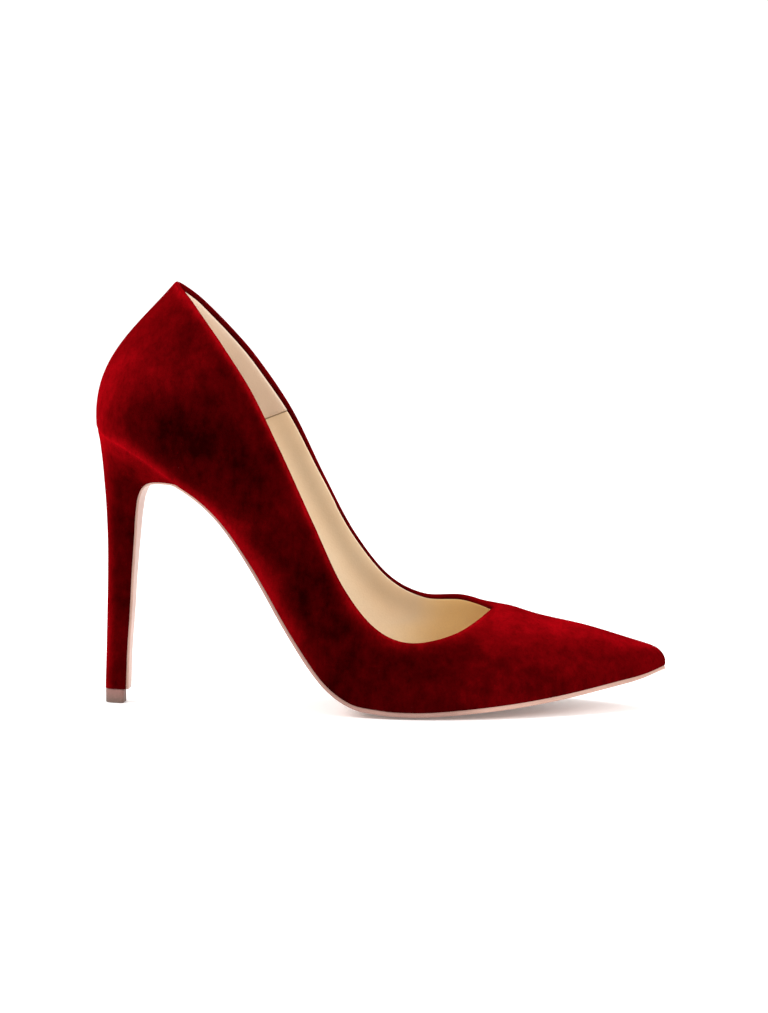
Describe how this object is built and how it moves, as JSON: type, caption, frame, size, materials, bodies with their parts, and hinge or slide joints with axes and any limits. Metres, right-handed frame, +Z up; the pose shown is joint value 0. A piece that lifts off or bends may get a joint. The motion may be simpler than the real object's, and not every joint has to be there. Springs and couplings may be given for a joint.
{
  "type": "high heel pump",
  "caption": "Pointed-toe stiletto pump for the right foot in dark red velvet, with a low-cut topline, covered heel and nude leather sole.",
  "frame": {"origin": "floor point under the centre of the shoe's bounding box", "axes": "+X towards the toe, +Y towards the inner (medial) side of the foot, +Z up; the shoe stands on its tread and top piece"},
  "size_m": [0.218, 0.0765, 0.1626],
  "materials": {
    "velvet": "matte",
    "heel_velvet": "matte",
    "vamp_lining": "satin",
    "quarter_lining": "satin",
    "sock": "satin",
    "sole": "satin",
    "interlining": "matte",
    "stiffener": "matte",
    "insole_board": "matte",
    "fibre_board": "matte",
    "filler": "matte",
    "foam": "matte",
    "heel_plastic": "satin",
    "top_piece": "matte",
    "steel": "satin"
  },
  "bodies": {
    "root": {"upper_outer": "velvet", "topline_binding": "velvet", "topline_tape": "interlining", "toe_puff": "stiffener", "interlining_lateral": "interlining", "interlining_medial": "interlining", "heel_counter": "stiffener", "vamp_lining": "vamp_lining", "quarter_lining": "quarter_lining", "back_stay": "quarter_lining", "insole_board": "insole_board", "shank_board": "fibre_board", "steel_shank": "steel", "shank_rivets": "steel", "bottom_filler": "filler", "forefoot_foam": "foam", "heel_foam": "foam", "sock_lining": "sock", "outsole": "sole", "heel_core": "heel_plastic", "heel_cover": "heel_velvet", "heel_tube": "steel", "heel_screw": "steel", "heel_nails": "steel", "heel_tip": "top_piece", "heel_tip_pin": "steel"}
  },
  "joints": []
}
